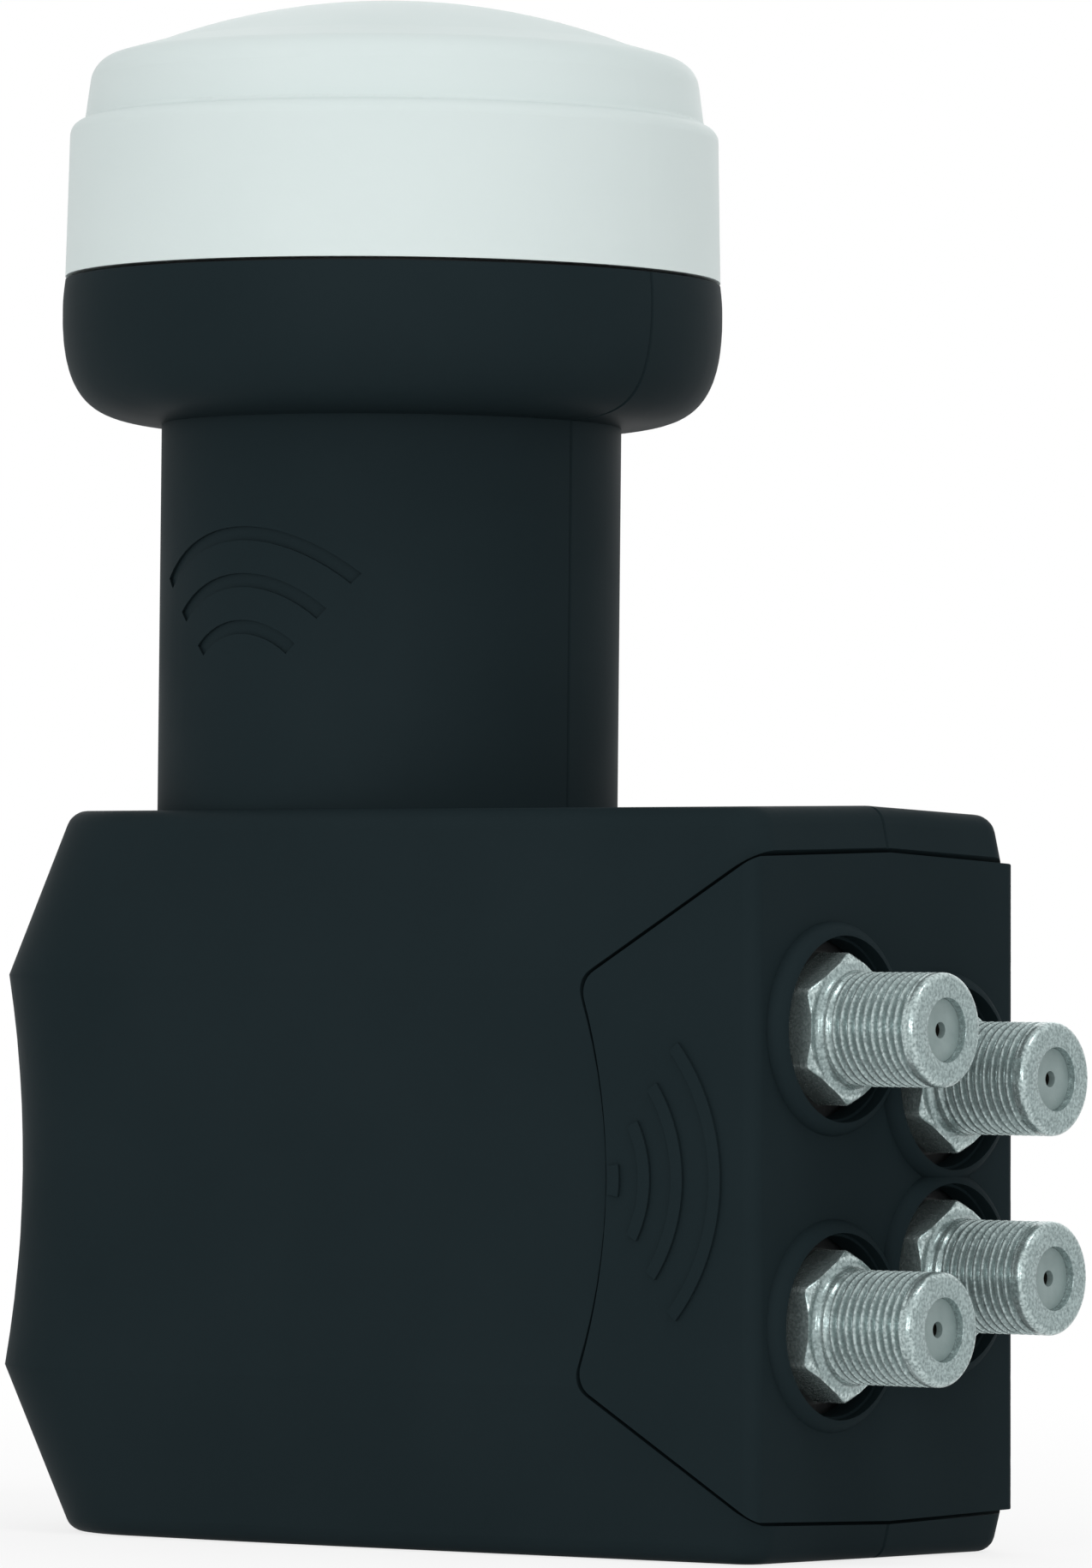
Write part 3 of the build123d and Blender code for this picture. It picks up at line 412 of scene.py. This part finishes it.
casting, tree, shader = grained(
    "raw_casting", color=(0.34, 0.35, 0.355), darker=(0.24, 0.25, 0.255),
    roughness=0.50, spread=0.08, clouds=200.0, grain=2500.0, depth=0.03 * mm, metal=1.0,
)
place = tree.nodes.new("ShaderNodeSeparateXYZ")
link(tree, tree.nodes.new("ShaderNodeTexCoord").outputs["Object"], place.inputs[0])
x, z = place.outputs["X"], place.outputs["Z"]
wall_shade = stretch(tree, x, end_wall_x - wall_blur, end_wall_x + wall_blur, 0.0, 1.0)
over_low = stretch(tree, z, seam_low_z - seam_blur, seam_low_z + seam_blur, 0.0, 1.0)
under_high = stretch(tree, z, seam_high_z - seam_blur, seam_high_z + seam_blur, 1.0, 0.0)
seam_shade = math_node(tree, "MULTIPLY", over_low, under_high)
painted_shade = math_node(tree, "MAXIMUM", wall_shade, seam_shade)
link(tree, mix_colors(tree, painted_shade, base_color(shader), painted_shade_color), shader.inputs["Base Color"])
link(tree, math_node(tree, "SUBTRACT", 1.0, painted_shade), shader.inputs["Metallic"])
print("casting nodes", len(tree.nodes))

# %% [markdown]
# ## Small parts
# Washers, screws, contacts, seals, boards, chips and insulators. Most are hidden until the
# cover slides out or the part is opened, and most get the finish that such a piece has. The
# washers and the contacts are near black, a painted shade, so the holes round the hexagons
# and the socket bores stay dark.

# %% Small finishes
# color, darker, roughness, spread, clouds, grain, depth, and metal where it isn't 0
recipes = {
    # Near-black painted shade on the washers, so the holes round the hexagons stay dark.
    "painted_shade_washer": ((0.020, 0.024, 0.024), (0.012, 0.015, 0.015), 0.55, 0.08,
                         600.0, 5000.0, 0.01 * mm, 0.5),
    "zinc_screw_steel": ((0.58, 0.59, 0.60), (0.48, 0.49, 0.50), 0.32, 0.06,
                         600.0, 4000.0, 0.02 * mm, 1.0),
    # Contacts darkened to near black as painted shade in the socket bores.
    "painted_shade_bronze": ((0.09, 0.08, 0.065), (0.05, 0.045, 0.04), 0.45, 0.06,
                    900.0, 5000.0, 0.01 * mm, 1.0),
    "black_rubber": ((0.012, 0.012, 0.012), (0.020, 0.020, 0.020), 0.70, 0.06,
                     200.0, 3000.0, 0.03 * mm),
    "solder_resist": ((0.010, 0.110, 0.045), (0.008, 0.085, 0.035), 0.35, 0.06,
                      150.0, 2500.0, 0.02 * mm),
    "chip_black": ((0.014, 0.014, 0.016), (0.020, 0.020, 0.022), 0.55, 0.05,
                   400.0, 5000.0, 0.02 * mm),
    "insulator_white": ((0.25, 0.32, 0.315), (0.20, 0.265, 0.26), 0.45, 0.05,
                        500.0, 4000.0, 0.01 * mm),
}
small = {name: grained(name, *recipe)[0] for name, recipe in recipes.items()}
print("small finishes", ", ".join(small))

# %% [markdown]
# ## Finishes on the CAD nodes
# The shapes of the CAD nodes are right, so they only change material. The record names a
# material slot for each node, and a table turns the slot into a finish. A loop over all
# nodes leaves none out. The washers alone differ from their slot: they get a near-black
# painted shade.

# %% Give every CAD node its finish
finish_of_slot = {
    "dark_housing": housing_plastic,
    "dark_cover": cover_plastic,
    "white_cap": cap_plastic,
    "cast_metal": casting,
    "nickel_plate": nickel,
    "black_rubber": small["black_rubber"],
    "circuit_board": small["solder_resist"],
    "chip_plastic": small["chip_black"],
    "screw_steel": small["zinc_screw_steel"],
    "white_insulator": small["insulator_white"],
    "contact_bronze": small["painted_shade_bronze"],
}
slot_of_node = {row["node"]: row["material_slot"] for row in frame["record"]["subparts"]}
for name, thing in nodes.items():
    finish = finish_of_slot[slot_of_node[name]]
    # Washers take the near-black painted shade instead of their slot's finish.
    if name.endswith("_washer"):
        finish = small["painted_shade_washer"]
    thing.data.materials.clear()
    thing.data.materials.append(finish)
print("finished nodes", len(nodes))

# %% [markdown]
# ## Threaded sockets
# A screwed coaxial socket is turned from hexagon bar: a spigot that goes through the
# chassis wall, the hexagon with its corners taken off by a cone, a barrel with a 3/8-32
# thread, a rounded tip and a bore. All of it is one lathe profile, so one Geometry Nodes
# tree makes it, and the four sockets differ only in the numbers that go in. The tree spins
# a profile round the socket's axis. Where the profile says hexagon, the radius follows a
# hexagon and the cone. Where it says thread, each point also moves along the axis by its
# share of a turn, so the grooves are a true helix.

# %% Short calls for building a geometry tree


class TreeMaker:
    """A geometry tree with its group input and output."""

    def __init__(self, name):
        self.tree = bpy.data.node_groups.new(name, "GeometryNodeTree")
        group_socket(self.tree, "Geometry", "NodeSocketGeometry", "INPUT")
        group_socket(self.tree, "Geometry", "NodeSocketGeometry", "OUTPUT")
        self.inside = self.tree.nodes.new("NodeGroupInput")
        self.outside = self.tree.nodes.new("NodeGroupOutput")

    def size(self, name, value, kind="NodeSocketFloat"):
        """A named size of the tree."""
        group_socket(self.tree, name, kind, "INPUT", value)
        return self.inside.outputs[name]

    def feed(self, socket, value):
        """Link or set one input."""
        if isinstance(value, bpy.types.NodeSocket):
            self.tree.links.new(value, socket)
        else:
            socket.default_value = value

    def node(self, kind, inputs=None, **settings):
        """A node with its properties set and its inputs, by name or number, fed."""
        node = self.tree.nodes.new(kind)
        for key, value in settings.items():
            setattr(node, key, value)
        for socket, value in (inputs or {}).items():
            self.feed(node.inputs[socket], value)
        return node

    def calc(self, operation, *values):
        """One Math node."""
        inputs = dict(enumerate(values))
        return self.node("ShaderNodeMath", inputs, operation=operation).outputs[0]

    def blend(self, share, first, second):
        """first where share is 0, second where it is 1."""
        return self.calc("MULTIPLY_ADD", self.calc("SUBTRACT", second, first), share, first)

    def smooth(self, value, low, high):
        """A smooth step from 0 to 1 between two values."""
        inputs = {"Value": value, "From Min": low, "From Max": high}
        node = self.node("ShaderNodeMapRange", inputs, interpolation_type="SMOOTHSTEP")
        return node.outputs["Result"]


# %% [markdown]
# ## Sizes that go into the tree
# Each size of a socket is a named input, so one tree turns all four. A 3/8-32 thread has 32
# turns to the inch, which is a pitch of 0.79 mm. The hexagon is 11.1 mm across its flats,
# and its corners are held a little inside a full hexagon's, as on bar that was turned.

# %% Named sizes of the lathe tree
thread_pitch = 25.4 * mm / 32

lathe = TreeMaker("socket_lathe")
calc, smooth = lathe.calc, lathe.smooth
columns = lathe.size("Columns", 96, "NodeSocketInt")
pitch = lathe.size("Thread Pitch", thread_pitch)
depth = lathe.size("Thread Depth", 0.42 * mm)
thread_start = lathe.size("Thread Start", 0.0)
thread_end = lathe.size("Thread End", 1.0 * mm)
flats = lathe.size("Hexagon Flats", 11.1 * mm)
corners = lathe.size("Hexagon Corners", 12.66 * mm)
hex_front = lathe.size("Hexagon Front", 0.0)
cone_face = lathe.size("Cone Face Radius", 5.72 * mm)
tip = lathe.size("Tip", 0.0)
centre_y = lathe.size("Centre Y", 0.0)
centre_z = lathe.size("Centre Z", 0.0)
group_socket(lathe.tree, "Finish", "NodeSocketMaterial", "INPUT")
print("lathe inputs", len(lathe.inside.outputs) - 1)

# %% [markdown]
# ## From a profile to a grid
# A spun surface is a grid that is bent round: one row of it for each point of the profile
# and one column for each step of the turn. The tree makes a flat grid of that many points,
# and each point then looks its row up in the profile for its place and its two shares.

# %% Grid, rows and turns
profile = lathe.inside.outputs["Geometry"]
counted = lathe.node("GeometryNodeAttributeDomainSize", {"Geometry": profile}, component="MESH")
points_round = calc("ADD", columns, 1.0)
grid = lathe.node("GeometryNodeMeshGrid", {
    "Vertices X": counted.outputs["Point Count"], "Vertices Y": points_round,
})
index = lathe.node("GeometryNodeInputIndex").outputs[0]
row = calc("FLOOR", calc("DIVIDE", calc("ADD", index, 0.5), points_round))
step_round = calc("SUBTRACT", index, calc("MULTIPLY", row, points_round))
turn = calc("DIVIDE", step_round, columns)


def from_profile(kind, value):
    """A value of the profile at this point's row."""
    inputs = {"Geometry": profile, "Value": value, "Index": row}
    node = lathe.node("GeometryNodeSampleIndex", inputs, data_type=kind, domain="POINT")
    return node.outputs["Value"]


def share_of(name):
    """A named share that the profile carries."""
    node = lathe.node("GeometryNodeInputNamedAttribute", {"Name": name}, data_type="FLOAT")
    return from_profile("FLOAT", node.outputs["Attribute"])


spot = lathe.node("GeometryNodeInputPosition").outputs[0]
drawn = lathe.node("ShaderNodeSeparateXYZ", {0: from_profile("FLOAT_VECTOR", spot)}).outputs
thread_share = share_of("thread_share")
hex_share = share_of("hex_share")
print("lathe nodes so far", len(lathe.tree.nodes))

# %% [markdown]
# ## The thread
# Each point of the barrel moves along the axis by its share of a turn, and is held between
# the thread's two ends. Its phase then says where it is from one groove's bottom to the
# next. The groove is a smooth V, and it grows and fades over most of a turn at each end, as
# a thread does where the tool comes in and goes out.

# %% Helix and groove
groove_floor, groove_crest = 0.05, 0.85
fade_turns = 0.9

moved_x = calc("MULTIPLY_ADD", pitch, turn, drawn["X"])
held_x = calc("MINIMUM", calc("MAXIMUM", moved_x, thread_start), thread_end)
along = lathe.blend(thread_share, drawn["X"], held_x)

turns_in = calc("DIVIDE", calc("SUBTRACT", along, thread_start), pitch)
phase = calc("FRACT", calc("SUBTRACT", turns_in, turn))
off_crest = calc("ABSOLUTE", calc("MULTIPLY_ADD", phase, 2.0, -1.0))
groove = calc("SUBTRACT", 1.0, smooth(calc("SUBTRACT", 1.0, off_crest), groove_floor, groove_crest))
fade_length = calc("MULTIPLY", pitch, fade_turns)
fade_in = smooth(along, thread_start, calc("ADD", thread_start, fade_length))
fade_out = smooth(
    calc("MULTIPLY", along, -1.0),
    calc("MULTIPLY", thread_end, -1.0), calc("SUBTRACT", fade_length, thread_end),
)
cut = calc("MULTIPLY", calc("MULTIPLY", groove, depth), calc("MULTIPLY", fade_in, fade_out))
turned = calc("SUBTRACT", drawn["Y"], calc("MULTIPLY", cut, thread_share))
print("lathe nodes with the thread", len(lathe.tree.nodes))

# %% [markdown]
# ## The hexagon
# The distance to a flat side grows with one over the cosine of the angle from its middle,
# which gives straight sides from a polar formula. Turned bar has its corners taken off at
# the front by a 30 degree cone, and the smaller of the two radii makes that cut.

# %% Hexagon and cone
cone_slope = math.sqrt(3)

side_turns = calc("SUBTRACT", calc("FRACT", calc("MULTIPLY_ADD", turn, 6.0, 0.5)), 0.5)
from_flat = calc("MULTIPLY", side_turns, math.pi / 3)
six_sided = calc("DIVIDE", calc("MULTIPLY", flats, 0.5), calc("COSINE", from_flat))
six_sided = calc("MINIMUM", six_sided, calc("MULTIPLY", corners, 0.5))
cone = calc("MULTIPLY_ADD", calc("SUBTRACT", hex_front, along), cone_slope, cone_face)
radius = lathe.blend(hex_share, turned, calc("MINIMUM", six_sided, cone))
print("lathe nodes with the hexagon", len(lathe.tree.nodes))

# %% [markdown]
# ## Where the highlights and the shade are painted
# A finish that looks for edges by itself would be slow and rough, and this tree knows every
# edge. It adds up one number for each point: a painted highlight on the hexagon's corners
# near 30 degrees from a flat, on its front rim and on the tip's outer rim, and on the thread
# a painted highlight on the crest and a painted shade in the groove. The nickel finish
# paints the sum as light and shade.

# %% Painted highlight and shade number for the nickel finish
corner_from, corner_to = 0.455, 0.515
rim_reach = 0.16 * mm
tip_from, tip_to = 0.65 * mm, 0.3 * mm
tip_inner, tip_outer = 4.2 * mm, 4.5 * mm
tip_highlight_strength = 0.55
crest_highlight, groove_shade = 0.5, -1.3

# Painted highlights on the hexagon and the tip, and painted highlight and shade on the thread.
corner_highlight = smooth(calc("ABSOLUTE", from_flat), corner_from, corner_to)
rim_highlight = smooth(along, calc("ADD", hex_front, -rim_reach), hex_front)
hex_highlight = calc("MULTIPLY", hex_share, calc("MAXIMUM", corner_highlight, rim_highlight))
near_tip = smooth(along, calc("ADD", tip, -tip_from), calc("ADD", tip, -tip_to))
tip_highlight = calc("MULTIPLY", near_tip, smooth(turned, tip_inner, tip_outer))
edge_highlight = calc("MAXIMUM", hex_highlight, calc("MULTIPLY", tip_highlight, tip_highlight_strength))
groove_part = calc("DIVIDE", cut, depth)
thread_light_and_shade = calc("MULTIPLY", thread_share, calc(
    "MULTIPLY_ADD", groove_part, groove_shade, crest_highlight
))
painted_light_sum = calc("ADD", thread_light_and_shade, edge_highlight)
print("lathe nodes with the relief", len(lathe.tree.nodes))

# %% [markdown]
# ## Bending the grid round
# The turn gives each point its angle, and sine and cosine put it on its radius round the
# socket's axis, which is at the centre that goes in. The painted highlight and shade number
# is stored first, so that it stays with its point. The last column then lies on the first,
# and merging closes the seam.

# %% Bend the grid round and finish the tree
weld_distance = 0.002 * mm

angle = calc("MULTIPLY", turn, 2 * math.pi)
spun = lathe.node("ShaderNodeCombineXYZ", {
    "X": along,
    "Y": calc("MULTIPLY_ADD", radius, calc("COSINE", angle), centre_y),
    "Z": calc("MULTIPLY_ADD", radius, calc("SINE", angle), centre_z),
})
kept = lathe.node("GeometryNodeStoreNamedAttribute", {
    "Geometry": grid.outputs["Mesh"], "Name": "painted_light", "Value": painted_light_sum,
}, data_type="FLOAT", domain="POINT")
placed = lathe.node("GeometryNodeSetPosition", {
    "Geometry": kept.outputs[0], "Position": spun.outputs[0],
})
welded = lathe.node("GeometryNodeMergeByDistance", {
    "Geometry": placed.outputs[0], "Distance": weld_distance,
})
realized = lathe.node("GeometryNodeRealizeInstances", {"Geometry": welded.outputs[0]})
finished = lathe.node("GeometryNodeSetMaterial", {
    "Geometry": realized.outputs[0], "Material": lathe.inside.outputs["Finish"],
})
lathe.feed(lathe.outside.inputs[0], finished.outputs[0])
print("lathe nodes", len(lathe.tree.nodes))

# %% [markdown]
# ## The profile
# A line of points from the back of the bore, over the spigot, the hexagon, the small cone
# in front of it, the barrel and the rounded tip, and back through the bore. The barrel has
# eight points to a turn, enough for a smooth groove. The hexagon's radius comes from the
# tree, so its points only need their place along the axis, closer where the cone cuts.

# %% Socket profile
thread_radius = 4.76 * mm
bore_radius = 2.65 * mm
spigot_radius = 4.2 * mm
spigot_chamfer = 0.2 * mm
hex_back_x = 53.0 * mm
hex_front_x = 56.4 * mm
cone_reach = 0.8 * mm
cone_lead = 0.05 * mm
cone_rows = 8
thread_steps = 8
thread_from_hex = 0.8 * mm
thread_to_tip = 0.75 * mm
shoulder = ((0.02, 5.36), (0.10, 5.12), (0.22, 4.94), (0.42, 4.82), (0.62, 4.76))
tip_round = ((0.55, 4.76), (0.40, 4.74), (0.25, 4.68), (0.12, 4.56), (0.03, 4.40), (0.0, 4.22))
bore_round = ((0.0, 0.12), (0.03, 0.04), (0.12, 0.0))


def socket_profile(back_x, tip_x):
    """Points as x, radius, hexagon share and thread share, and the thread's two ends."""
    start_x = hex_front_x + thread_from_hex
    end_x = tip_x - thread_to_tip
    points = [
        (back_x, bore_radius, 0, 0),
        (back_x, spigot_radius - spigot_chamfer, 0, 0),
        (back_x + spigot_chamfer, spigot_radius, 0, 0),
        (hex_back_x, spigot_radius, 0, 0),
        (hex_back_x, 0, 1, 0),
        (hex_front_x - cone_reach - cone_lead, 0, 1, 0),
    ]
    points += [
        (hex_front_x - cone_reach * (1 - k / cone_rows), 0, 1, 0) for k in range(cone_rows + 1)
    ]
    points += [(hex_front_x + x * mm, r * mm, 0, 0) for x, r in shoulder]
    turns = (end_x - start_x) / thread_pitch
    row_count = math.ceil((turns + 1) * thread_steps) + 1
    first_x = start_x - thread_pitch
    points += [
        (first_x + k * thread_pitch / thread_steps, thread_radius, 0, 1) for k in range(row_count)
    ]
    points += [(tip_x - x * mm, r * mm, 0, 0) for x, r in tip_round]
    points += [(tip_x - x * mm, bore_radius + r * mm, 0, 0) for x, r in bore_round]
    points.append((back_x, bore_radius, 0, 0))
    return points, start_x, end_x


def profile_mesh(points, name):
    """The profile as a line of points that carry their two shares."""
    mesh = bpy.data.meshes.new(name)
    line = [(k, k + 1) for k in range(len(points) - 1)]
    mesh.from_pydata([(x, r, 0) for x, r, _, _ in points], line, [])
    for label, column in (("hex_share", 2), ("thread_share", 3)):
        layer = mesh.attributes.new(label, "FLOAT", "POINT")
        layer.data.foreach_set("value", [float(point[column]) for point in points])
    return mesh


# %% [markdown]
# ## Turning the four sockets
# Each socket's CAD node gives the back, the tip and the axis. The tree runs on its profile,
# its result becomes a plain mesh, and the modifier goes. Then doubles are merged, faces
# point outwards, and shading stays smooth except at real edges. The threaded socket stands
# for its CAD node, which stays in the scene, hidden, as a plain barrel.

# %% Helpers for the turned meshes


def run_tree(profile_line, tree, values, name):
    """Evaluate a tree on a profile mesh and give the result as a plain mesh object."""
    thing = bpy.data.objects.new(name, profile_line)
    scene.collection.objects.link(thing)
    modifier = thing.modifiers.new("shape", "NODES")
    modifier.node_group = tree
    for item in tree.interface.items_tree:
        if item.item_type == "SOCKET" and item.in_out == "INPUT" and item.name in values:
            modifier[item.identifier] = values[item.name]
    graph = bpy.context.evaluated_depsgraph_get()
    graph.update()
    mesh = bpy.data.meshes.new_from_object(thing.evaluated_get(graph))
    mesh.name = name
    thing.modifiers.clear()
    thing.data = mesh
    return thing


def close_and_smooth(thing, sharp_degrees):
    """Weld, point the faces outwards, and shade smooth except at real edges."""
    mesh = thing.data
    shell = bmesh.new()
    shell.from_mesh(mesh)
    bmesh.ops.remove_doubles(shell, verts=shell.verts, dist=weld_distance / 2)
    bmesh.ops.dissolve_degenerate(shell, edges=shell.edges, dist=weld_distance / 2)
    bmesh.ops.recalc_face_normals(shell, faces=shell.faces)
    open_edges = sum(not edge.is_manifold for edge in shell.edges)
    shell.to_mesh(mesh)
    shell.free()
    mesh.shade_smooth()
    mesh.set_sharp_from_angle(angle=math.radians(sharp_degrees))
    return open_edges


# %% Turn the four sockets
for socket_place in ("upper_front", "lower_front", "upper_rear", "lower_rear"):
    node_name = f"{socket_place}_socket_body"
    low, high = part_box(node_name)
    points, start_x, end_x = socket_profile(low[0], high[0])
    socket = run_tree(profile_mesh(points, f"{socket_place}_profile"), lathe.tree, {
        "Thread Start": start_x,
        "Thread End": end_x,
        "Hexagon Front": hex_front_x,
        "Tip": high[0],
        "Centre Y": (low[1] + high[1]) / 2,
        "Centre Z": (low[2] + high[2]) / 2,
        "Finish": nickel,
    }, f"{socket_place}_threaded_socket")
    open_edges = close_and_smooth(socket, 40)
    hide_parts(node_name)
    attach(socket, "housing")
    print(socket.name, "faces", len(socket.data.polygons), "open edges", open_edges)
